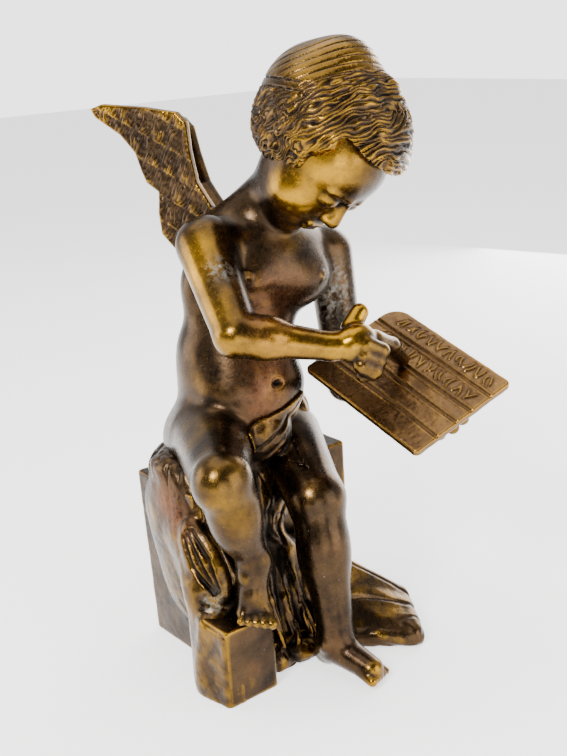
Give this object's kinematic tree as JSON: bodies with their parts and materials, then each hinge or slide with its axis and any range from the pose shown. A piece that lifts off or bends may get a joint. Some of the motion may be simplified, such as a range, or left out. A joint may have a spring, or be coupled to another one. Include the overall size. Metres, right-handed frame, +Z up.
{
  "type": "cherub statue",
  "caption": "small cast bronze statue of a seated winged child with bowed head, writing on a tablet held on the left hand, with draped cloth, a plain block seat and a foot step",
  "frame": {"origin": "middle of the seat block's underside, on the ground", "axes": "+Z up, -Y towards the figure's front, +X towards the figure's left hand"},
  "size_m": [0.1548, 0.2427, 0.3416],
  "materials": {
    "bronze": "cast bronze with a dark brown patina, rubbed to olive gold on raised places",
    "red_bronze": "cast bronze with a redder brown patina, dark in the grooves"
  },
  "bodies": {
    "root": {"cherub_on_seat": "bronze", "writing_tablet": "red_bronze"}
  },
  "joints": []
}
